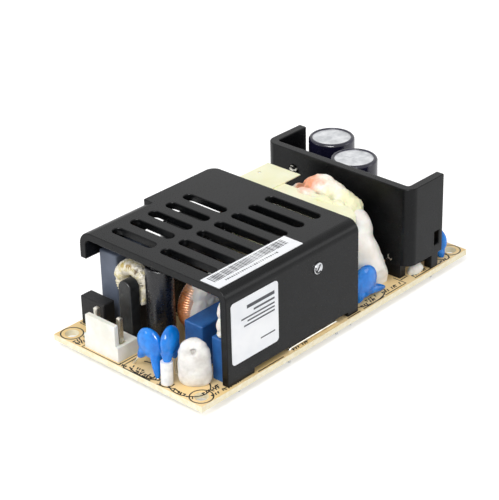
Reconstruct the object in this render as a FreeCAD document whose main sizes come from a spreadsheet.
import FreeCAD, Part
import Sketcher
import math
import os
import re
from FreeCAD import Placement, Rotation, Vector

# Open frame power supply, 4 x 2 inch footprint, millimetres.
# X runs along the long side, from the mains input to the output.
# Y runs across the board and Z points up from the board's underside.
# The origin is the centre of the four mounting holes, on the underside.

doc = FreeCAD.newDocument("open_frame_power_supply")
sheet = doc.addObject("Spreadsheet::Sheet", "Dimensions")

driving_sizes = {
    # circuit board
    "board_length": 101.6,
    "board_width": 50.8,
    "board_top": 1.6,
    "hole_inset": 3.175,
    "hole_diameter": 3.5,
    # folded cover over the input half
    "cover_front": -41.0,
    "cover_length": 47.5,
    "cover_width": 49.2,
    "cover_height": 25.4,
    "cover_sheet": 2.0,
    "cover_bend": 3.0,
    "flange_bend": 3.8,
    "flange_depth": 7.5,
    "flange_length": 20.8,
    "relief_width": 1.3,
    "relief_depth": 3.2,
    "cover_corner": 2.6,
    "cover_foot_front": 9.2,
    "cover_foot_rear": 4.0,
    "cover_lift": 1.3,
    "slot_width": 3.0,
    "slot_pitch": 6.15,
    "slot_first": 5.8,
    "near_slot_count": 7,
    "near_slot_length": 17.5,
    "near_slot_start": 8.6,
    "far_slot_count": 5,
    "far_slot_start": 28.6,
    "far_slot_end": 6.4,
    "cover_screw_x": -9.0,
    "cover_screw_drop": 6.7,
    # heatsink across the output half
    "sink_front": 26.4,
    "sink_length": 14.1,
    "sink_width": 49.2,
    "sink_height": 25.9,
    "sink_sheet": 2.4,
    "sink_bend": 3.2,
    "sink_lift": 3.8,
    "sink_offset": -0.3,
    "sink_foot": 5.1,
    "sink_foot_inset": 2.8,
    "sink_leg": 2.9,
    "sink_leg_inset": 1.6,
    "sink_window_long": 2.0,
    "sink_window_tall": 4.0,
    "sink_window_inset": 1.4,
    "sink_window_z": 8.0,
    "sink_screw_inset": 10.1,
    "sink_screw_z": 21.8,
    "sink_rivet_inset": 6.3,
    "sink_rivet_z": 6.9,
    "rivet_diameter": 1.2,
    "rivet_head": 1.9,
    # screws and power packages
    "screw_diameter": 3.0,
    "screw_fit": 0.05,
    "screw_proud": 0.4,
    "screw_head_diameter": 5.6,
    "screw_head_height": 2.0,
    "screw_recess": 1.1,
    "package_width": 10.0,
    "package_body": 9.2,
    "package_tall": 15.6,
    "package_deep": 4.5,
    "package_tab": 1.3,
    "package_hole_drop": 2.8,
    "package_lead": 0.8,
    "package_lead_pitch": 2.54,
    "pad_sheet": 0.3,
    "pad_margin": 1.4,
    # labels
    "label_sheet": 0.15,
    "rating_x": -39.5,
    "rating_length": 16.1,
    "rating_z": 6.8,
    "rating_margin": 9.0,
    "rating_corner": 1.0,
    "code_x": -40.4,
    "code_length": 29.0,
    "code_inset": 2.5,
    "code_width": 6.0,
    # wire-to-board headers
    "pin_pitch": 3.96,
    "pin_side": 1.14,
    "pin_tip": 10.7,
    "header_end": 1.95,
    "header_depth": 6.8,
    "header_base": 4.0,
    "header_setback": 0.9,
    "header_wall": 1.3,
    "header_wall_height": 9.6,
    "header_wall_inset": 0.8,
    "header_pin_set": 2.9,
    "header_well": 0.45,
    "header_well_depth": 1.0,
    "input_y": 9.1,
    "output_gap": 0.86,
    "output_pins": 4,
    # input parts
    "fuse_x": -40.6,
    "fuse_y": 19.9,
    "fuse_depth": 3.8,
    "fuse_length": 8.4,
    "fuse_height": 8.0,
    "fuse_edge": 0.4,
    "sleeve_x": -41.25,
    "sleeve_set": 2.5,
    "sleeve_long": 4.2,
    "sleeve_thick": 3.3,
    "sleeve_height": 17.8,
    "xcap_x": -30.5,
    "xcap_gap": 0.35,
    "xcap_long": 13.0,
    "xcap_thick": 6.2,
    "xcap_clear": 4.0,
    "choke_x": -37.35,
    "choke_gap": 0.35,
    "choke_ring": 3.95,
    "choke_core": 1.3,
    "choke_wire": 0.55,
    "choke_clear": 3.0,
    "aux_x": -37.6,
    "aux_gap": 0.2,
    "aux_diameter": 7.0,
    "aux_clear": 0.8,
    "coil_x": -26.9,
    "coil_y": -2.5,
    "coil_ring": 4.8,
    "coil_core": 1.7,
    "coil_wire": 0.8,
    "coil_foot": 1.6,
    "box_a_x": -32.1,
    "box_a_y": -11.2,
    "box_a_long": 13.0,
    "box_a_thick": 5.9,
    "box_a_height": 11.4,
    "box_b_x": -34.5,
    "box_b_gap": 0.1,
    "box_b_long": 11.0,
    "box_b_thick": 4.0,
    "box_b_height": 11.4,
    "box_edge": 0.45,
    "disc_a_x": -46.8,
    "disc_a_y": -4.9,
    "disc_a_z": 8.9,
    "disc_a_near_x": -48.8,
    "disc_a_near_y": -9.1,
    "disc_a_far_x": -47.7,
    "disc_a_far_y": 0.4,
    "disc_b_x": -46.3,
    "disc_b_y": -11.1,
    "disc_b_z": 12.4,
    "disc_b_near_x": -48.6,
    "disc_b_near_y": -12.0,
    "disc_b_far_x": -44.0,
    "disc_b_far_y": -10.5,
    "disc_c_x": 12.6,
    "disc_c_y": -21.6,
    "disc_c_z": 6.4,
    "disc_c_near_x": 9.8,
    "disc_c_far_x": 20.6,
    "disc_d_x": 43.3,
    "disc_d_y": -20.2,
    "disc_d_z": 6.0,
    "disc_d_near_y": -22.9,
    "disc_d_far_y": -17.6,
    "disc_radius": 4.1,
    "disc_c_grown": 0.5,
    "disc_half": 1.9,
    "disc_soft": 0.8,
    "disc_tail": 1.35,
    "lead_radius": 0.3,
    "tube_radius": 1.5,
    "varistor_x": -44.4,
    "varistor_y": -17.1,
    "varistor_wide": 8.0,
    "varistor_thick": 4.6,
    "varistor_height": 12.4,
    "varistor_round": 2.2,
    "bulk_x": -15.0,
    "bulk_y": 10.2,
    "bulk_diameter": 18.0,
    "bulk_clear": 1.9,
    "bridge_x": -21.9,
    "bridge_gap": 0.6,
    "bridge_long": 13.4,
    "bridge_thick": 3.5,
    "bridge_height": 11.0,
    "bridge_stand": 1.5,
    # transformer
    "core_x": 8.7,
    "core_y": 1.0,
    "core_thick": 13.4,
    "core_wide": 34.0,
    "core_clear": 1.4,
    "core_yoke": 3.6,
    "core_lift": 2.4,
    "core_leg": 9.0,
    "core_side": 3.4,
    "tape_sheet": 0.4,
    "tape_round": 2.4,
    "former_sheet": 0.8,
    "former_length": 27.4,
    "former_width": 21.0,
    "former_gap": 0.3,
    "rail_depth": 3.0,
    "rail_lift": 0.6,
    "coil_round": 3.0,
    "flap_x": 8.0,
    "flap_y": 7.6,
    "flap_long": 13.6,
    "flap_wide": 11.4,
    "flap_sheet": 0.3,
    "flap_hole": 1.0,
    # silicone
    "mound_x": 20.4,
    "mound_y": -3.4,
    "mound_drop": 5.0,
    "mound_long": 4.9,
    "mound_wide": 11.0,
    "mound_tall": 8.0,
    "slope_x": 17.4,
    "slope_y": -13.6,
    "slope_long": 8.0,
    "slope_wide": 10.2,
    "slope_tall": 17.0,
    "output_bead_x": 32.5,
    "output_bead_inset": 2.8,
    "output_bead_long": 2.6,
    "output_bead_wide": 1.8,
    "output_bead_tall": 3.0,
    "capacitor_bead_clear": 2.6,
    "capacitor_bead_round": 1.5,
    "choke_bead_long": 6.4,
    "choke_bead_wide": 2.8,
    "choke_bead_tall": 5.8,
    "choke_bead_lift": 0.6,
    "coupler_x": 21.4,
    "coupler_y": 16.6,
    "coupler_long": 6.5,
    "coupler_wide": 4.6,
    "coupler_tall": 3.3,
    "coupler_stand": 0.6,
    # output parts
    "can_diameter": 12.5,
    "can_height": 24.6,
    "can_a_x": 42.3,
    "can_a_gap": 1.25,
    "can_b_x": 35.7,
    "can_b_step": 13.3,
    "sleeve_sheet": 0.25,
    "sleeve_lip": 0.9,
    "can_bead": 0.7,
    "drum_x": 38.2,
    "drum_gap": 1.9,
    "drum_radius": 3.0,
    "drum_core": 1.6,
    "drum_height": 9.0,
    "drum_flange": 1.2,
    # wires and joints
    "jumper_x": -19.5,
    "jumper_length": 18.9,
    "jumper_y": -23.95,
    "jumper_radius": 0.4,
    "joint_radius": 1.1,
    "joint_height": 1.1,
    "joint_tip": 0.45,
    "joint_trim": 0.7,
}

for line, (alias, value) in enumerate(driving_sizes.items(), start=1):
    sheet.set(f"A{line}", alias)
    sheet.set(f"B{line}", str(value))
    sheet.setAlias(f"B{line}", alias)
sheet.recompute()

# A second sheet works out starting values, so that the first stays untouched.
workings = doc.addObject("Spreadsheet::Sheet", "Workings")
nodes = {}
leads = []


def cells(text):
    """A formula of size names, as an expression on the sheet."""
    return re.sub(r"[a-z]+_[a-z_]+", lambda found: "Dimensions." + found.group(0), text)


def number(text):
    """The present value of a formula of size names."""
    workings.set("A1", "=" + cells(text))
    workings.recompute()
    return float(workings.get("A1"))


def bind(item, **formulas):
    for name, text in formulas.items():
        item.setExpression(name, cells(text))


def put(item, x="0", y="0", z="0"):
    for axis, text in zip("xyz", (x, y, z)):
        item.setExpression(f"Placement.Base.{axis}", cells(text))
    return item


def turned(item, axis, angle):
    item.Placement = Placement(Vector(), Rotation(Vector(*axis), angle))
    return item


def block(name, x0, x1, y0, y1, z0, z1):
    box = doc.addObject("Part::Box", name)
    bind(box, Length=f"({x1}) - ({x0})", Width=f"({y1}) - ({y0})", Height=f"({z1}) - ({z0})")
    return put(box, x0, y0, z0)


def centred(name, x, y, z0, long, wide, z1):
    return block(name, f"{x} - ({long}) / 2", f"{x} + ({long}) / 2",
                 f"{y} - ({wide}) / 2", f"{y} + ({wide}) / 2", z0, z1)


def rod(name, radius, x, y, z, length, axis=None, angle=0):
    cylinder = doc.addObject("Part::Cylinder", name)
    bind(cylinder, Radius=radius, Height=length)
    if axis:
        turned(cylinder, axis, angle)
    return put(cylinder, x, y, z)


def fuse(name, *parts):
    joined = doc.addObject("Part::MultiFuse", name)
    joined.Shapes = list(parts)
    joined.Refine = True
    return joined


def cut(name, base, *tools):
    tool = tools[0] if len(tools) == 1 else fuse(name + "_tools", *tools)
    result = doc.addObject("Part::Cut", name)
    result.Base = base
    result.Tool = tool
    return result


def group(name, *parts):
    gathered = doc.addObject("Part::Compound", name)
    gathered.Links = list(parts)
    return gathered


def along(edge, axis):
    """True for a straight edge along one axis: 0, 1 or 2."""
    if not isinstance(edge.Curve, Part.Line):
        return False
    return abs(abs(edge.tangentAt(edge.FirstParameter)[axis]) - 1) < 1e-6


def rounded(name, base, radius, test, kind="Part::Fillet"):
    doc.recompute()
    size = number(radius)
    item = doc.addObject(kind, name)
    item.Base = base
    item.Edges = [(count, size, size) for count, edge in enumerate(base.Shape.Edges, start=1) if test(edge)]
    return item


def node(name, item):
    item.Label = name
    nodes[name] = item
    return item


def lead(x, y):
    """Notes where a lead or tab is soldered under the board."""
    leads.append((x, y))


# PartDesign helpers


def make_body(name):
    return doc.addObject("PartDesign::Body", name)


def sketch_on(body, name, role, offset="0"):
    sketch = body.newObject("Sketcher::SketchObject", name)
    plane = [item for item in body.Origin.OriginFeatures if item.Role == role][0]
    sketch.AttachmentSupport = [(plane, "")]
    sketch.MapMode = "FlatFace"
    sketch.setExpression("AttachmentOffset.Base.z", cells(offset))
    return sketch


def pin_point(sketch, geometry, point, across, up):
    """Ties one point of a sketch to the origin by two bound distances."""
    for kind, text in (("DistanceX", across), ("DistanceY", up)):
        index = sketch.addConstraint(Sketcher.Constraint(kind, -1, 1, geometry, point, number(text)))
        sketch.setExpression(f"Constraints[{index}]", cells(text))


def add_rectangle(sketch, left, right, low, high):
    corners = [Vector(number(across), number(up), 0)
               for across, up in ((left, low), (right, low), (right, high), (left, high))]
    first = sketch.GeometryCount
    for count in range(4):
        sketch.addGeometry(Part.LineSegment(corners[count], corners[(count + 1) % 4]), False)
    for count in range(4):
        kind = "Horizontal" if count % 2 == 0 else "Vertical"
        sketch.addConstraint(Sketcher.Constraint(kind, first + count))
        sketch.addConstraint(Sketcher.Constraint("Coincident", first + count, 2, first + (count + 1) % 4, 1))
    pin_point(sketch, first, 1, left, low)
    pin_point(sketch, first + 2, 1, right, high)


def add_circle(sketch, across, up, radius):
    centre = Vector(number(across), number(up), 0)
    circle = sketch.addGeometry(Part.Circle(centre, Vector(0, 0, 1), number(radius)), False)
    index = sketch.addConstraint(Sketcher.Constraint("Radius", circle, number(radius)))
    sketch.setExpression(f"Constraints[{index}]", cells(radius))
    pin_point(sketch, circle, 3, across, up)


def add_slot(sketch, across, low, high, width):
    """A round-ended slot that runs up the sketch between low and high."""
    x, y0, y1, half = (number(text) for text in (across, low, high, f"{width} / 2"))
    top = Part.ArcOfCircle(Part.Circle(Vector(x, y1 - half, 0), Vector(0, 0, 1), half), 0, math.pi)
    base = Part.ArcOfCircle(Part.Circle(Vector(x, y0 + half, 0), Vector(0, 0, 1), half), math.pi, math.tau)
    left = Part.LineSegment(Vector(x - half, y1 - half, 0), Vector(x - half, y0 + half, 0))
    right = Part.LineSegment(Vector(x + half, y0 + half, 0), Vector(x + half, y1 - half, 0))
    first = sketch.GeometryCount
    for item in (top, left, base, right):
        sketch.addGeometry(item, False)
    for count in range(4):
        sketch.addConstraint(Sketcher.Constraint("Tangent", first + count, 2, first + (count + 1) % 4, 1))
    sketch.addConstraint(Sketcher.Constraint("Vertical", first + 1))
    index = sketch.addConstraint(Sketcher.Constraint("Radius", first, half))
    sketch.setExpression(f"Constraints[{index}]", cells(f"{width} / 2"))
    pin_point(sketch, first, 3, across, f"{high} - {width} / 2")
    span = Sketcher.Constraint("DistanceY", first + 2, 3, first, 3, y1 - y0 - 2 * half)
    index = sketch.addConstraint(span)
    sketch.setExpression(f"Constraints[{index}]", cells(f"{high} - ({low}) - {width}"))


def pad(body, sketch, length, backwards=False):
    feature = body.newObject("PartDesign::Pad", sketch.Name + "_pad")
    feature.Profile = sketch
    bind(feature, Length=length)
    feature.Reversed = backwards
    return feature


def pocket(body, sketch, length, backwards=False):
    feature = body.newObject("PartDesign::Pocket", sketch.Name + "_pocket")
    feature.Profile = sketch
    bind(feature, Length=length)
    feature.Reversed = backwards
    return feature


def bend(body, feature, name, radius, test):
    """Rounds the chosen edges of a body's last feature, as a fold in sheet."""
    doc.recompute()
    edges = [f"Edge{count}" for count, edge in enumerate(feature.Shape.Edges, start=1) if test(edge)]
    fold = body.newObject("PartDesign::Fillet", name)
    fold.Base = (feature, edges)
    bind(fold, Radius=radius)
    return fold


def repeat(body, feature, sketch, span, count):
    pattern = body.newObject("PartDesign::LinearPattern", feature.Name + "_row")
    pattern.Originals = [feature]
    pattern.Direction = (sketch, ["H_Axis"])
    bind(pattern, Length=span, Occurrences=count)
    body.Tip = pattern
    return pattern


def near(value, text):
    return abs(value - number(text)) < 0.01


# Circuit board: one sheet with a mounting hole at each corner


def circuit_board():
    body = make_body("circuit_board")
    outline = sketch_on(body, "board_outline", "XY_Plane")
    add_rectangle(outline, "-board_length / 2", "board_length / 2", "-board_width / 2", "board_width / 2")
    pad(body, outline, "board_top")
    holes = sketch_on(body, "board_holes", "XY_Plane")
    for side in ("-1", "1"):
        for end in ("-1", "1"):
            add_circle(holes, f"{end} * (board_length / 2 - hole_inset)",
                       f"{side} * (board_width / 2 - hole_inset)", "hole_diameter / 2")
    doc.recompute()
    pocket(body, holes, "board_top", backwards=True)
    node("circuit_board", body)


# Cover: one folded sheet with a deep wall, a slotted top and a short far flange

cover_top = "(board_top + cover_height)"
cover_under = "(board_top + cover_height - cover_sheet)"
cover_rear = "(cover_front + cover_length)"
wall_outside = "(-cover_width / 2)"
wall_inside = "(-cover_width / 2 + cover_sheet)"
cover_screw_z = f"({cover_top} - cover_screw_drop)"


def slotted_cover():
    body = make_body("slotted_cover")
    section = sketch_on(body, "cover_section", "YZ_Plane", "cover_front")
    add_rectangle(section, "-cover_width / 2", "cover_width / 2", "board_top", cover_top)
    pad(body, section, "cover_length")
    inside = sketch_on(body, "cover_inside", "YZ_Plane", "cover_front")
    add_rectangle(inside, wall_inside, "cover_width / 2 - cover_sheet", "board_top - 1", cover_under)
    channel = pocket(body, inside, "cover_length", backwards=True)

    def fold_edge(side, height):
        return lambda edge: (along(edge, 0) and near(edge.Vertexes[0].Y, side)
                             and near(edge.Vertexes[0].Z, height))

    folded = bend(body, channel, "wall_fold", "cover_bend", fold_edge("-cover_width / 2", cover_top))
    folded = bend(body, folded, "flange_fold", "flange_bend", fold_edge("cover_width / 2", cover_top))
    folded = bend(body, folded, "wall_fold_inside", "cover_bend - cover_sheet",
                  fold_edge(wall_inside, cover_under))
    folded = bend(body, folded, "flange_fold_inside", "flange_bend - cover_sheet",
                  fold_edge("cover_width / 2 - cover_sheet", cover_under))

    trim = sketch_on(body, "flange_trim", "YZ_Plane", "cover_front")
    add_rectangle(trim, "cover_width / 2 - flange_bend", "cover_width / 2 + 1",
                  "board_top - 1", f"{cover_top} - flange_depth")
    pocket(body, trim, "cover_length", backwards=True)

    flange_end = "(cover_front + flange_length)"
    strip = sketch_on(body, "rear_trim", "XY_Plane", cover_under)
    add_rectangle(strip, flange_end, f"{cover_rear} + 1",
                  "cover_width / 2 - flange_bend", "cover_width / 2 + 1")
    pocket(body, strip, "cover_height")
    lip = sketch_on(body, "rear_lip", "XY_Plane", cover_under)
    add_rectangle(lip, flange_end, cover_rear, "cover_width / 2 - flange_bend - 1", "cover_width / 2")
    pad(body, lip, "cover_sheet")
    relief = sketch_on(body, "fold_relief", "XY_Plane", f"{cover_top} + 1")
    add_rectangle(relief, flange_end, f"{flange_end} + relief_width",
                  "cover_width / 2 - relief_depth", "cover_width / 2 + 1")
    pocket(body, relief, "flange_depth + 2")

    lift = sketch_on(body, "wall_cutout", "XZ_Plane", "cover_width / 2 + 1")
    add_rectangle(lift, "cover_front + cover_foot_front", f"{cover_rear} - cover_foot_rear",
                  "board_top - 1", "board_top + cover_lift")
    pocket(body, lift, "cover_sheet + 2")
    screw_hole = sketch_on(body, "cover_screw_hole", "XZ_Plane", "cover_width / 2 + 1")
    add_circle(screw_hole, "cover_screw_x", cover_screw_z, "screw_diameter / 2 + screw_fit")
    last = pocket(body, screw_hole, "cover_sheet + 2")

    def rear_corner(edge):
        middle = edge.CenterOfMass
        return along(edge, 2) and near(middle.x, cover_rear) and near(middle.y, "cover_width / 2")

    bend(body, last, "cover_rear_corner", "cover_corner", rear_corner)
    for side in ("near", "far"):
        slot = sketch_on(body, f"{side}_slot", "XY_Plane", f"{cover_top} + 1")
        low = f"(-cover_width / 2 + {side}_slot_start)"
        high = f"({low} + near_slot_length)" if side == "near" else "(cover_width / 2 - far_slot_end)"
        add_slot(slot, "(cover_front + slot_first)", low, high, "slot_width")
        first = pocket(body, slot, "cover_sheet + 2")
        repeat(body, first, slot, f"slot_pitch * ({side}_slot_count - 1)", f"{side}_slot_count")
    node("slotted_cover", body)
    for x in ("cover_front + cover_foot_front / 2", f"{cover_rear} - cover_foot_rear / 2"):
        lead(x, f"{wall_outside} + cover_sheet / 2")


# Output heatsink: a thick plate across the board, both ends folded towards the output

sink_rear = "(sink_front + sink_length)"
sink_near = "(sink_offset - sink_width / 2)"
sink_far = "(sink_offset + sink_width / 2)"
sink_back = "(sink_front + sink_sheet)"
sink_screw_y = f"({sink_far} - sink_screw_inset)"
sink_rivet_y = f"({sink_near} + sink_rivet_inset)"


def output_heatsink():
    body = make_body("output_heatsink")
    plan = sketch_on(body, "sink_plan", "XY_Plane", "board_top + sink_lift")
    add_rectangle(plan, "sink_front", sink_rear, sink_near, sink_far)
    pad(body, plan, "sink_height - sink_lift")
    bay = sketch_on(body, "sink_bay", "XY_Plane", "board_top + sink_lift")
    add_rectangle(bay, sink_back, f"{sink_rear} + 1",
                  f"{sink_near} + sink_sheet", f"{sink_far} - sink_sheet")
    shell = pocket(body, bay, "sink_height", backwards=True)

    def corner(x, sides):
        return lambda edge: (along(edge, 2) and near(edge.Vertexes[0].X, x)
                             and any(near(edge.Vertexes[0].Y, side) for side in sides))

    folded = bend(body, shell, "sink_fold", "sink_bend", corner("sink_front", (sink_near, sink_far)))
    inner = (f"{sink_near} + sink_sheet", f"{sink_far} - sink_sheet")
    bend(body, folded, "sink_fold_inside", "sink_bend - sink_sheet", corner(sink_back, inner))

    feet = sketch_on(body, "sink_feet", "XY_Plane", "board_top")
    foot_near = f"({sink_near} + sink_foot_inset)"
    foot_far = f"({sink_far} - sink_foot_inset)"
    leg_end = f"({sink_rear} - sink_leg_inset)"
    add_rectangle(feet, "sink_front", sink_back, foot_near, f"{foot_near} + sink_foot")
    add_rectangle(feet, "sink_front", sink_back, f"{foot_far} - sink_foot", foot_far)
    add_rectangle(feet, f"{leg_end} - sink_leg", leg_end, sink_near, f"{sink_near} + sink_sheet")
    add_rectangle(feet, f"{leg_end} - sink_leg", leg_end, f"{sink_far} - sink_sheet", sink_far)
    pad(body, feet, "sink_lift + 0.5")

    window = sketch_on(body, "sink_window", "XZ_Plane", f"1 - {sink_near}")
    window_end = f"({sink_rear} - sink_window_inset)"
    add_rectangle(window, f"{window_end} - sink_window_long", window_end,
                  "sink_window_z", "sink_window_z + sink_window_tall")
    pocket(body, window, "sink_sheet + 2")
    fixings = sketch_on(body, "sink_fixings", "YZ_Plane", "sink_front - 1")
    add_circle(fixings, sink_screw_y, "sink_screw_z", "screw_diameter / 2 + screw_fit")
    add_circle(fixings, sink_rivet_y, "sink_rivet_z", "rivet_diameter / 2")
    pocket(body, fixings, "sink_sheet + 2", backwards=True)
    node("output_heatsink", body)
    for y in (f"{foot_near} + sink_foot / 2", f"{foot_far} - sink_foot / 2"):
        lead("sink_front + sink_sheet / 2", y)
    for y in (f"{sink_near} + sink_sheet / 2", f"{sink_far} - sink_sheet / 2"):
        lead(f"{leg_end} - sink_leg / 2", y)


# Power packages: a moulded block on a metal tab, screwed flat to the sheet


def power_package(name, screw_name, pad_name, x, y, z, turn):
    """Built at the origin with its tab on the plane Y = 0, facing -Y, then turned and placed."""
    low = "(package_hole_drop - package_tall)"
    tab = block(f"{name}_tab", "-package_width / 2", "package_width / 2", "0", "package_tab",
                f"{low} + package_body", "package_hole_drop")
    tab_hole = rod(f"{name}_tab_hole", "screw_diameter / 2 + screw_fit", "0", "package_tab", "0",
                   "package_tab", (1, 0, 0), 90)
    moulding = block(f"{name}_moulding", "-package_width / 2", "package_width / 2", "0", "package_deep",
                     low, f"{low} + package_body")
    legs = [block(f"{name}_leg_{count}", f"{count} * package_lead_pitch - package_lead / 2",
                  f"{count} * package_lead_pitch + package_lead / 2",
                  "package_deep / 2 - 0.25", "package_deep / 2 + 0.25",
                  f"board_top - {z}", low) for count in (-1, 0, 1)]
    package = fuse(name, cut(f"{name}_drilled_tab", tab, tab_hole), moulding, *legs)
    pad_item = block(pad_name, "-package_width / 2 - pad_margin", "package_width / 2 + pad_margin",
                     "-pad_sheet", "0", f"{low} - pad_margin", "package_hole_drop + pad_margin / 2")
    pad_hole = rod(f"{pad_name}_hole", "screw_diameter / 2 + screw_fit", "0", "0", "0",
                   "pad_sheet", (1, 0, 0), 90)
    pad_cut = cut(pad_name + "_punched", pad_item, pad_hole)
    head = rod(f"{screw_name}_head", "screw_head_diameter / 2", "0", "package_tab + screw_head_height", "0",
               "screw_head_height", (1, 0, 0), 90)
    sheet_size = "cover_sheet" if turn == 0 else "sink_sheet"
    shank = rod(f"{screw_name}_shank", "screw_diameter / 2", "0", "package_tab", "0",
                f"package_tab + pad_sheet + {sheet_size} + screw_proud", (1, 0, 0), 90)
    recess = rod(f"{screw_name}_recess", "screw_recess", "0", "package_tab + screw_head_height", "0",
                 "screw_head_height / 2", (1, 0, 0), 90)
    screw = cut(screw_name, fuse(f"{screw_name}_blank", head, shank), recess)
    for label, item in ((name, package), (pad_name, pad_cut), (screw_name, screw)):
        turned(item, (0, 0, 1), turn)
        put(item, x, y, z)
        node(label, item)
    for count in (-1, 0, 1):
        if turn == 0:
            lead(f"{x} + {count} * package_lead_pitch", f"{y} + package_deep / 2")
        else:
            lead(f"{x} + package_deep / 2", f"{y} + {count} * package_lead_pitch")


def sink_rivet():
    shank = rod("rivet_shank", "rivet_diameter / 2", "sink_front", sink_rivet_y, "sink_rivet_z",
                "sink_sheet", (0, 1, 0), 90)
    head = rod("rivet_head_disc", "rivet_head / 2", "sink_front - screw_proud", sink_rivet_y,
               "sink_rivet_z", "screw_proud", (0, 1, 0), 90)
    node("heatsink_rivet", fuse("heatsink_rivet", shank, head))


# Paper labels on the cover


def labels():
    rating = block("rating_blank", "rating_x", "rating_x + rating_length",
                   f"{wall_outside} - label_sheet", wall_outside, "rating_z",
                   "rating_z + cover_height - rating_margin")
    node("rating_label", rounded("rating_label", rating, "rating_corner", lambda edge: along(edge, 1)))
    near = f"({wall_outside} + code_inset)"
    node("barcode_label", block("barcode_label", "code_x", "code_x + code_length", near,
                                f"{near} + code_width", cover_top, f"{cover_top} + label_sheet"))


# Headers: a moulded base with a tall locking wall on the board's edge, and square pins


def header(name, y, count, side, filled):
    """side is -1 at the input edge and 1 at the output edge."""
    half = f"(({count} - 1) * pin_pitch / 2 + header_end)"
    edge = f"({side} * (board_length / 2 - header_setback))"
    inner = f"({side} * (board_length / 2 - header_setback - header_depth))"
    wall_inner = f"({side} * (board_length / 2 - header_setback - header_wall))"
    low, high = (edge, inner) if side < 0 else (inner, edge)
    wall_low, wall_high = (edge, wall_inner) if side < 0 else (wall_inner, edge)
    floor = "(board_top + header_base)"
    base = block(f"{name}_base", low, high, f"{y} - {half}", f"{y} + {half}", "board_top", floor)
    wall = block(f"{name}_wall", wall_low, wall_high, f"{y} - {half} + header_wall_inset",
                 f"{y} + {half} - header_wall_inset", "board_top", "board_top + header_wall_height")
    pin_x = f"({side} * (board_length / 2 - header_setback - header_pin_set))"
    wells = []
    bores = []
    pins = []
    for place in filled:
        pin_y = f"({y} + ({place} - ({count} - 1) / 2) * pin_pitch)"
        wells.append(centred(f"{name}_well_{place}", pin_x, pin_y, f"{floor} - header_well_depth",
                             "pin_side + 2 * header_well", "pin_side + 2 * header_well", f"{floor} + 1"))
        bores.append(centred(f"{name}_bore_{place}", pin_x, pin_y, "board_top - 1",
                             "pin_side", "pin_side", f"{floor} + 1"))
        post = centred(f"{name}_pin_{place}", pin_x, pin_y, "board_top", "pin_side", "pin_side",
                       "board_top + pin_tip")
        pins.append(rounded(f"{name}_pin_point_{place}", post, "pin_side * 0.3",
                            lambda edge: near(edge.CenterOfMass.z, "board_top + pin_tip"), "Part::Chamfer"))
        lead(pin_x, pin_y)
    wall_top = "board_top + header_wall_height"
    shell = rounded(f"{name}_blank", fuse(f"{name}_joined", base, wall), "header_wall_inset / 2",
                    lambda edge: along(edge, 0) and near(edge.CenterOfMass.z, wall_top))
    node(f"{name}_housing", cut(f"{name}_housing", shell, *wells, *bores))
    node(f"{name}_pins", group(f"{name}_pins", *pins))


# Input filter parts


def boxed_capacitor(name, x, y, long, thick, height):
    body = centred(f"{name}_block", x, y, "board_top", long, thick, f"board_top + {height}")
    top = rounded(name, body, "box_edge", lambda edge: along(edge, 2)
                  or near(edge.CenterOfMass.z, f"board_top + {height}"))
    node(name, top)
    for side in ("-1", "1"):
        lead(f"{x} + {side} * ({long} / 2 - 1.2)", y)


def fuse_block():
    body = centred("fuse_block", "fuse_x", "fuse_y", "board_top", "fuse_depth", "fuse_length",
                   "board_top + fuse_height")
    node("fuse", rounded("fuse", body, "fuse_edge", lambda edge: along(edge, 2)
                         or near(edge.CenterOfMass.z, "board_top + fuse_height")))
    for side in ("-1", "1"):
        lead("fuse_x", f"fuse_y + {side} * fuse_length * 0.3")


def sleeved_thermistor():
    """A disc in a shrink sleeve: flat sides, round top."""
    crown = "(board_top + sleeve_height - sleeve_long / 2)"
    lower = centred("sleeve_lower", "sleeve_x", sleeve_y, "board_top", "sleeve_thick", "sleeve_long",
                    crown)
    upper = rod("sleeve_crown", "sleeve_long / 2", "sleeve_x - sleeve_thick / 2", sleeve_y, crown,
                "sleeve_thick", (0, 1, 0), 90)
    joined = fuse("sleeve_joined", lower, upper)
    node("thermistor", rounded("thermistor", joined, "fuse_edge", lambda edge: along(edge, 2)))
    for side in ("-1", "1"):
        lead("sleeve_x", f"{sleeve_y} + {side} * sleeve_long * 0.3")


def ring_choke(name, x, y, ring, core, wire, foot, across):
    """A toroid that stands on edge, wound on both halves; across names the axis of its hole."""
    thick = f"({core} + {wire})"
    centre = f"(board_top + {foot} + {ring} + {thick})"
    lean = ((0, 1, 0), 90) if across == "x" else ((1, 0, 0), 90)

    def plan(over, along_ring):
        """Sizes along X and Y of what measures these over the hole's axis and along the ring."""
        return (over, along_ring) if across == "x" else (along_ring, over)

    rings = []
    for part, section in (("core", core), ("turns", thick), ("room", f"{thick} + 0.02")):
        item = doc.addObject("Part::Torus", f"{name}_{part}")
        bind(item, Radius1=ring, Radius2=section)
        turned(item, *lean)
        rings.append(put(item, x, y, centre))
    inner, outer, room = rings
    gap = centred(f"{name}_gap", x, y, f"{centre} - 2 * {ring}", *plan(f"4 * {thick}", f"{ring} / 2"),
                  f"{centre} + 2 * {ring}")
    node(f"{name}_core", inner)
    node(f"{name}_winding", cut(f"{name}_winding", outer, inner, gap))
    seat = f"(board_top + {foot})"
    base = centred(f"{name}_base_block", x, y, "board_top", *plan(f"1.8 * {core}", f"{ring} * 1.6"),
                   f"{seat} + {core} / 2")
    node(f"{name}_base", cut(f"{name}_base", base, room))
    for side in ("-1", "1"):
        for end in ("-1", "1"):
            over, along_ring = plan(f"{end} * {core}", f"{side} * {ring} * 0.6")
            lead(f"{x} + {over}", f"{y} + {along_ring}")


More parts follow.
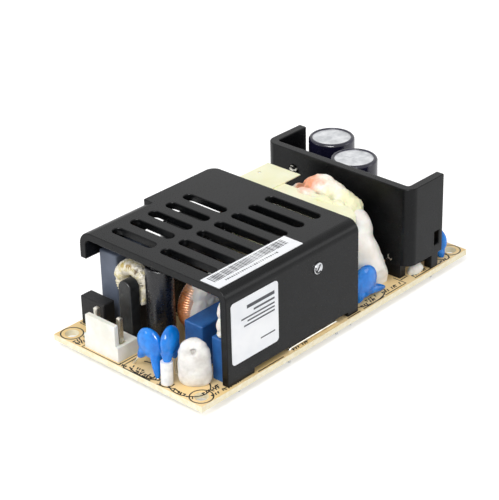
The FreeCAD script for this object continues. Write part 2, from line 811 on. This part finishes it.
def electrolytic(name, x, y, diameter, height):
    """An aluminium can in a shrink sleeve that leaves the scored top bare."""
    top = f"(board_top + {height})"
    can = rod(f"{name}_blank", f"{diameter} / 2 - sleeve_sheet", x, y, "board_top", height)
    node(f"{name}_can", rounded(f"{name}_can", can, "can_bead", lambda edge: near(edge.CenterOfMass.z, top)))
    skin = rod(f"{name}_skin", f"{diameter} / 2", x, y, "board_top", height)
    lip = rod(f"{name}_lip", f"{diameter} / 2 - sleeve_lip", x, y, f"{top} - can_bead", "2 * can_bead")
    node(f"{name}_sleeve", cut(f"{name}_sleeve", skin, lip, nodes[f"{name}_can"]))
    for side in ("-1", "1"):
        lead(x, f"{y} + {side} * {diameter} * 0.2")


def coated_disc(name, x, y, z, turn, radius):
    """A round disc on edge, its rim rounded by the coating; turn is about Z."""
    face = Rotation(Vector(0, 0, 1), turn).multVec(Vector(0, 1, 0))
    disc = doc.addObject("Part::Cylinder", name + "_plain")
    bind(disc, Radius=radius, Height="2 * disc_half")
    disc.Placement = Placement(Vector(), Rotation(Vector(0, 0, 1), turn) * Rotation(Vector(1, 0, 0), 90))
    put(disc, f"{x} + disc_half * {face.x:.4f}", f"{y} + disc_half * {face.y:.4f}", z)
    return rounded(name, disc, "disc_half * disc_soft", lambda edge: isinstance(edge.Curve, Part.Circle))


def strut(name, radius, head_radius, foot, head):
    """A round bar between two points, each given as three formulas."""
    start, end = (Vector(*(number(text) for text in point)) for point in (foot, head))
    bar = doc.addObject("Part::Cone", name)
    bind(bar, Radius1=radius, Radius2=head_radius)
    bar.Height = (end - start).Length
    bar.Placement = Placement(start, Rotation(Vector(0, 0, 1), end - start))
    return bar


def partway(foot, head, share):
    """A point that lies a share of the way from one point to another."""
    return tuple(f"({low}) + {share} * (({high}) - ({low}))" for low, high in zip(foot, head))


# How far from its middle a lead enters a disc, across and down, as shares of the radius.
entry_across = 0.45
entry_down = 0.55
# How far up the lead the white sleeve reaches.
sleeved_share = 0.68


def disc_leads(x, y, z, turn, radius, feet):
    """Where each lead meets the board and where it enters the disc."""
    across = Rotation(Vector(0, 0, 1), turn).multVec(Vector(1, 0, 0))
    pairs = []
    for side, (foot_x, foot_y) in zip((-1, 1), feet):
        reach = f"({side * entry_across} * {radius})"
        head = (f"{x} + {reach} * {across.x:.4f}", f"{y} + {reach} * {across.y:.4f}",
                f"{z} - {radius} * {entry_down}")
        pairs.append(((foot_x, foot_y, "board_top - lead_radius"), head))
    return pairs


def on_board(name, item, x, y):
    """What stands above the board's top face."""
    below = centred(f"{name}_below", x, y, "0", "8 * disc_radius", "8 * disc_radius", "board_top")
    return cut(name, item, below)


def disc_capacitor(name, x, y, z, turn, feet, grown="0", bare=0.3):
    """A coated ceramic disc on edge: its leads spread to the board, coated but for a bare end."""
    radius = f"(disc_radius + {grown})"
    parts = [coated_disc(f"{name}_disc", x, y, z, turn, radius)]
    for count, (foot, head) in enumerate(disc_leads(x, y, z, turn, radius, feet)):
        parts.append(strut(f"{name}_wire_{count}", "lead_radius", "lead_radius", foot, head))
        parts.append(strut(f"{name}_tail_{count}", "lead_radius * 1.4", "disc_tail",
                           partway(foot, head, bare), head))
        lead(foot[0], foot[1])
    node(name, on_board(name, fuse(f"{name}_whole", *parts), x, y))


def lead_sleeve():
    """A sleeve over the near lead of the disc that stands beside the varistor."""
    foot, head = disc_leads("disc_b_x", "disc_b_y", "disc_b_z", disc_b_turn, "disc_radius", disc_b_feet)[0]
    top = partway(foot, head, sleeved_share)
    outer = strut("sleeve_outer", "tube_radius", "tube_radius", foot, top)
    bore = strut("sleeve_bore", "lead_radius", "lead_radius", foot, top)
    node("lead_sleeve", on_board("lead_sleeve", cut("sleeve_tube", outer, bore), foot[0], foot[1]))


def varistor():
    body = doc.addObject("Part::Box", "varistor_block")
    bind(body, Length="varistor_thick", Width="varistor_wide", Height="varistor_height - 0.8")
    turn = Rotation(Vector(0, 0, 1), 43)
    body.Placement = Placement(Vector(), turn)
    back = turn.multVec(Vector(1, 0, 0))
    side = turn.multVec(Vector(0, 1, 0))
    put(body,
        f"varistor_x - varistor_thick / 2 * {back.x:.4f} - varistor_wide / 2 * {side.x:.4f}",
        f"varistor_y - varistor_thick / 2 * {back.y:.4f} - varistor_wide / 2 * {side.y:.4f}",
        "board_top + 0.8")
    shaped = rounded("varistor_body", body, "varistor_round", lambda edge: edge.CenterOfMass.z > 3)
    legs = []
    for end in ("-1", "1"):
        x = f"(varistor_x + {end} * varistor_wide * 0.3 * {side.x:.4f})"
        y = f"(varistor_y + {end} * varistor_wide * 0.3 * {side.y:.4f})"
        legs.append(rod(f"varistor_leg_{int(end) + 1}", "lead_radius", x, y, "board_top", "2"))
        lead(x, y)
    node("varistor", fuse("varistor", shaped, *legs))


def bridge_rectifier():
    low = "(board_top + bridge_stand)"
    y = f"({wall_inside} + bridge_gap + bridge_thick / 2)"
    body = centred("bridge_block", "bridge_x", y, low, "bridge_long", "bridge_thick",
                   f"{low} + bridge_height")
    shaped = rounded("bridge_body", body, "box_edge", lambda edge: along(edge, 2), "Part::Chamfer")
    legs = []
    for place in range(4):
        x = f"(bridge_x + ({place} - 1.5) * bridge_long * 0.26)"
        legs.append(centred(f"bridge_leg_{place}", x, y, "board_top", "package_lead",
                            "package_lead", f"{low} + 1"))
        lead(x, y)
    node("bridge_rectifier", fuse("bridge_rectifier", shaped, *legs))


# Transformer: two E cores on a coil former, wound, taped round the core

core_low = "(board_top + core_lift)"
core_high = f"({cover_under} - core_clear)"
core_middle = f"(({core_low} + {core_high}) / 2)"
former_low = f"({core_low} + core_yoke + former_gap)"
former_high = f"({core_high} - core_yoke - former_gap)"


def core_half(name, back, face, sign):
    """back is the yoke's outer face and face the plane where the halves meet."""
    yoke_end = f"({back} + {sign} * core_yoke)"
    order = (lambda a, b: (a, b)) if sign > 0 else (lambda a, b: (b, a))
    yoke = centred(f"{name}_yoke", "core_x", "core_y", order(back, yoke_end)[0], "core_thick", "core_wide",
                   order(back, yoke_end)[1])
    low, high = order(back, face)
    middle = centred(f"{name}_middle", "core_x", "core_y", low, "core_thick", "core_leg", high)
    outer = "(core_wide / 2 - core_side / 2)"
    sides = [centred(f"{name}_side_{end + 1}", "core_x", f"(core_y + {end} * {outer})", low, "core_thick",
                     "core_side", high) for end in (-1, 1)]
    blank = fuse(f"{name}_blank", yoke, middle, *sides)

    def shoulder(edge):
        return (along(edge, 0) and near(edge.CenterOfMass.z, back)
                and near(abs(edge.CenterOfMass.y - number("core_y")), "core_wide / 2"))

    node(name, rounded(name, blank, "tape_round - tape_sheet", shoulder))


def transformer():
    core_half("core_lower", core_low, core_middle, 1)
    core_half("core_upper", core_high, core_middle, -1)

    outer = centred("tape_outer", "core_x", "core_y", f"{core_low} - tape_sheet", "core_thick",
                    "core_wide + 2 * tape_sheet", f"{core_high} + tape_sheet")
    round_tape = rounded("tape_round", outer, "tape_round", lambda edge: along(edge, 0))
    hollow = centred("tape_hollow", "core_x", "core_y", core_low, "core_thick + 2", "core_wide", core_high)
    soft = rounded("tape_hollow_round", hollow, "tape_round - tape_sheet", lambda edge: along(edge, 0))
    node("transformer_tape", cut("transformer_tape", round_tape, soft))


def coil_former():
    hole = centred("former_hole", "core_x", "core_y", f"{former_low} - 1", "core_thick + 2 * former_gap",
                   "core_leg + 2 * former_gap", f"{former_high} + 1")
    tube = centred("former_tube", "core_x", "core_y", former_low,
                   "core_thick + 2 * former_gap + 2 * former_sheet",
                   "core_leg + 2 * former_gap + 2 * former_sheet", former_high)
    ends = ((former_low, f"{former_low} + former_sheet"), (f"{former_high} - former_sheet", former_high))
    flanges = [centred(f"former_flange_{count}", "core_x", "core_y", low, "former_length", "former_width",
                       high) for count, (low, high) in enumerate(ends)]
    rails = []
    for side in (-1, 1):
        rail_x = f"(core_x + {side} * (former_length / 2 - rail_depth / 2))"
        rails.append(centred(f"former_rail_{side + 1}", rail_x, "core_y", "board_top + rail_lift",
                             "rail_depth", "former_width", f"{former_low} + former_sheet"))
        for place in range(4):
            pin_y = f"(core_y + ({place} - 1.5) * former_width * 0.27)"
            rails.append(rod(f"former_pin_{side + 1}_{place}", "lead_radius", rail_x, pin_y,
                             "board_top", "rail_lift + 1"))
            lead(rail_x, pin_y)
    node("coil_former", cut("coil_former", fuse("former_joined", tube, *flanges, *rails), hole))
    wound = centred("winding_outer", "core_x", "core_y", f"{former_low} + former_sheet",
                    "former_length - 1.6", "former_width - 1.6", f"{former_high} - former_sheet")
    soft = rounded("winding_round", wound, "coil_round", lambda edge: along(edge, 2))
    tunnel = centred("winding_tunnel", "core_x", "core_y", f"{former_low} - 1",
                     "core_thick + 2 * former_gap + 2 * former_sheet",
                     "core_leg + 2 * former_gap + 2 * former_sheet", f"{former_high} + 1")
    node("transformer_winding", cut("transformer_winding", soft, tunnel))


def insulation_flap():
    top = f"({core_high} + tape_sheet)"
    sheet_item = block("flap_sheet_blank", "flap_x", "flap_x + flap_long", "flap_y", "flap_y + flap_wide",
                       top, f"{top} + flap_sheet")
    hole = rod("flap_punch", "flap_hole / 2", "flap_x + flap_long * 0.57", "flap_y + flap_wide * 0.8",
               f"{top} - 1", "flap_sheet + 2")
    node("insulation_flap", cut("insulation_flap", sheet_item, hole))


# Silicone beads that hold the tall parts


def bead(name, x, y, z, half_x, half_y, half_z, keep_from, *neighbours):
    """A blob of set silicone, trimmed to the parts that it sticks to."""
    blob = doc.addObject("Part::Ellipsoid", f"{name}_blob")
    bind(blob, Radius1=half_z, Radius2=half_x, Radius3=half_y)
    put(blob, x, y, z)
    floor = block(f"{name}_floor", f"{x} - 2 * ({half_x})", f"{x} + 2 * ({half_x})",
                  f"{y} - 2 * ({half_y})", f"{y} + 2 * ({half_y})", f"{keep_from} - 40", keep_from)
    return node(name, cut(name, blob, floor, *neighbours))


def beads():
    tape = centred("tape_room", "core_x", "core_y", "board_top", "core_thick", "core_wide + 2 * tape_sheet",
                   f"{core_high} + tape_sheet")
    coil = centred("coil_room", "core_x", "core_y", "board_top", "former_length", "former_width",
                   former_high)
    bead("silicone_mound", "mound_x", "mound_y", f"{core_high} - mound_drop", "mound_long", "mound_wide",
         "mound_tall", former_high, tape)
    disc_size = "(disc_radius + disc_c_grown)"
    space = block("slope_disc_space", f"disc_c_x - {disc_size}", f"disc_c_x + {disc_size}",
                  "disc_c_y - 2 * disc_half", "disc_c_y + disc_half * 0.8", "board_top", "disc_c_z")
    bead("silicone_slope", "slope_x", "slope_y", "board_top", "slope_long", "slope_wide", "slope_tall",
         "board_top", tape, coil, nodes["silicone_mound"], nodes["disc_capacitor_rear"], space)
    bead("output_bead", "output_bead_x", "-board_width / 2 + output_bead_inset", "board_top",
         "output_bead_long", "output_bead_wide", "output_bead_tall", "board_top")
    cap = "(board_top + box_b_height)"
    top_bead = centred("capacitor_bead_blank", "box_b_x - box_b_long / 4", box_b_y, cap, "box_b_long / 2",
                       "box_b_thick - 0.5", f"{cover_under} - capacitor_bead_clear")
    node("capacitor_bead", rounded("capacitor_bead", top_bead, "capacitor_bead_round",
                                   lambda edge: edge.CenterOfMass.z > number(f"{cap} + 0.1")))
    section = "(coil_core + coil_wire)"
    centre = f"(board_top + coil_foot + coil_ring + {section})"
    space = rod("choke_bead_space", f"coil_ring + {section}", "coil_x", f"coil_y + {section}", centre,
                f"2 * {section}", (1, 0, 0), 90)
    bead("choke_bead", "coil_x", f"coil_y - {section}", f"{centre} + choke_bead_lift", "choke_bead_long",
         "choke_bead_wide", "choke_bead_tall", f"{centre} - coil_ring", space)


# Output parts


def drum_choke():
    seat = "board_top"
    top = "(board_top + drum_height)"
    y = f"({sink_near} + sink_sheet + drum_gap + drum_radius)"
    spindle = rod("drum_spindle", "drum_core", "drum_x", y, seat, "drum_height")
    discs = [rod(f"drum_disc_{count}", "drum_radius", "drum_x", y, z, "drum_flange")
             for count, z in enumerate((seat, f"{top} - drum_flange"))]
    node("output_choke_core", fuse("output_choke_core", spindle, *discs))
    outer = rod("drum_turns", "drum_radius - 0.4", "drum_x", y, f"{seat} + drum_flange",
                "drum_height - 2 * drum_flange")
    bore = rod("drum_bore", "drum_core", "drum_x", y, seat, "drum_height")
    node("output_choke_winding", cut("output_choke_winding", outer, bore))
    for side in ("-1", "1"):
        lead("drum_x", f"{y} + {side} * drum_radius * 0.7")


def optocoupler():
    low = "(board_top + coupler_stand)"
    body = centred("coupler_block", "coupler_x", "coupler_y", low, "coupler_long", "coupler_wide",
                   f"{low} + coupler_tall")
    shaped = rounded("coupler_body", body, "box_edge", lambda edge: along(edge, 0), "Part::Chamfer")
    legs = []
    for end in (-1, 1):
        for side in (-1, 1):
            x = f"(coupler_x + {end} * (coupler_long / 2 + package_lead / 3))"
            y = f"(coupler_y + {side} * package_lead_pitch / 2)"
            legs.append(centred(f"coupler_leg_{end + 1}_{side + 1}", x, y, "board_top", "package_lead * 0.8",
                                "package_lead", f"{low} + coupler_tall / 2"))
            lead(x, y)
    node("optocoupler", fuse("optocoupler", shaped, *legs))


def jumper():
    wire = rod("jumper_wire", "jumper_radius", "jumper_x", "jumper_y", "board_top + jumper_radius",
               "jumper_length", (0, 1, 0), 90)
    node("jumper_wire", wire)
    for x in ("jumper_x + 0.6", "jumper_x + jumper_length - 0.6"):
        lead(x, "jumper_y")


def solder_joints():
    """One fillet of solder with its trimmed lead end under each lead."""
    joints = []
    for count, (x, y) in enumerate(leads):
        fillet = doc.addObject("Part::Cone", f"joint_fillet_{count}")
        bind(fillet, Radius1="joint_tip", Radius2="joint_radius", Height="joint_height")
        put(fillet, x, y, "-joint_height")
        tip = rod(f"joint_tip_{count}", "joint_tip", x, y, "-joint_height - joint_trim", "joint_trim")
        joints.append(fuse(f"joint_{count}", fillet, tip))
    node("solder_joints", group("solder_joints", *joints))


circuit_board()
slotted_cover()
output_heatsink()
labels()
power_package("switching_transistor", "transistor_screw", "transistor_pad",
              "cover_screw_x", f"({wall_inside} + pad_sheet)", cover_screw_z, 0)
power_package("output_rectifier", "rectifier_screw", "rectifier_pad",
              f"({sink_back} + pad_sheet)", sink_screw_y, "sink_screw_z", -90)
sink_rivet()
header("input_header", "input_y", 3, -1, (0, 2))
xcap_y = "(cover_width / 2 - cover_sheet - xcap_gap - xcap_thick / 2)"
choke_reach = "(choke_ring + choke_core + choke_wire)"
choke_y = f"({xcap_y} - xcap_thick / 2 - choke_gap - {choke_reach})"
sleeve_y = f"({choke_y} - sleeve_set)"
aux_y = f"({choke_y} - {choke_reach} - aux_gap - aux_diameter / 2)"
output_pins = driving_sizes["output_pins"]
can_a_y = f"({sink_far} - sink_sheet - can_a_gap - can_diameter / 2)"
can_b_y = f"({can_a_y} - can_b_step)"
output_y = f"({can_a_y} - can_diameter / 2 - output_gap - (output_pins - 1) * pin_pitch / 2 - header_end)"
header("output_header", output_y, output_pins, 1, range(output_pins))
fuse_block()
sleeved_thermistor()
boxed_capacitor("suppression_capacitor", "xcap_x", xcap_y, "xcap_long", "xcap_thick",
                f"({cover_under} - board_top - xcap_clear)")
ring_choke("line_choke", "choke_x", choke_y, "choke_ring", "choke_core", "choke_wire",
           f"({cover_under} - board_top - choke_clear - 2 * {choke_reach})", "x")
electrolytic("filter_capacitor", "aux_x", aux_y, "aux_diameter",
             f"({cover_under} - board_top - aux_clear)")
boxed_capacitor("film_capacitor_front", "box_a_x", "box_a_y", "box_a_long", "box_a_thick", "box_a_height")
box_b_y = f"({wall_inside} + box_b_gap + box_b_thick / 2)"
boxed_capacitor("film_capacitor_wall", "box_b_x", box_b_y, "box_b_long", "box_b_thick", "box_b_height")
disc_b_turn = 18
disc_b_feet = (("disc_b_near_x", "disc_b_near_y"), ("disc_b_far_x", "disc_b_far_y"))
disc_capacitor("disc_capacitor_left", "disc_a_x", "disc_a_y", "disc_a_z", 90,
               (("disc_a_near_x", "disc_a_near_y"), ("disc_a_far_x", "disc_a_far_y")))
disc_capacitor("disc_capacitor_sleeved", "disc_b_x", "disc_b_y", "disc_b_z", disc_b_turn, disc_b_feet,
               bare=0.7)
disc_capacitor("disc_capacitor_rear", "disc_c_x", "disc_c_y", "disc_c_z", 0,
               (("disc_c_near_x", "disc_c_y"), ("disc_c_far_x", "disc_c_y")), "disc_c_grown")
disc_capacitor("disc_capacitor_output", "disc_d_x", "disc_d_y", "disc_d_z", 90,
               (("disc_d_x", "disc_d_near_y"), ("disc_d_x", "disc_d_far_y")))
lead_sleeve()
ring_choke("rectifier_choke", "coil_x", "coil_y", "coil_ring", "coil_core", "coil_wire", "coil_foot",
           "y")
varistor()
electrolytic("bulk_capacitor", "bulk_x", "bulk_y", "bulk_diameter",
             f"({cover_under} - board_top - bulk_clear)")
bridge_rectifier()
transformer()
coil_former()
insulation_flap()
electrolytic("output_capacitor_rear", "can_a_x", can_a_y, "can_diameter", "can_height")
electrolytic("output_capacitor_front", "can_b_x", can_b_y, "can_diameter", "can_height")
drum_choke()
optocoupler()
jumper()
beads()
solder_joints()

doc.recompute()
faults = [item.Name for item in doc.Objects if "Invalid" in item.State or "Error" in item.State]
for name, item in nodes.items():
    if item.Shape.isNull() or not item.Shape.isValid() or item.Shape.Volume <= 0:
        faults.append(name)
if faults:
    raise RuntimeError("these did not build: " + ", ".join(faults))

os.makedirs("parts", exist_ok=True)
for name, item in nodes.items():
    item.Shape.exportStep(f"parts/{name}.step")
print(len(nodes), "nodes")
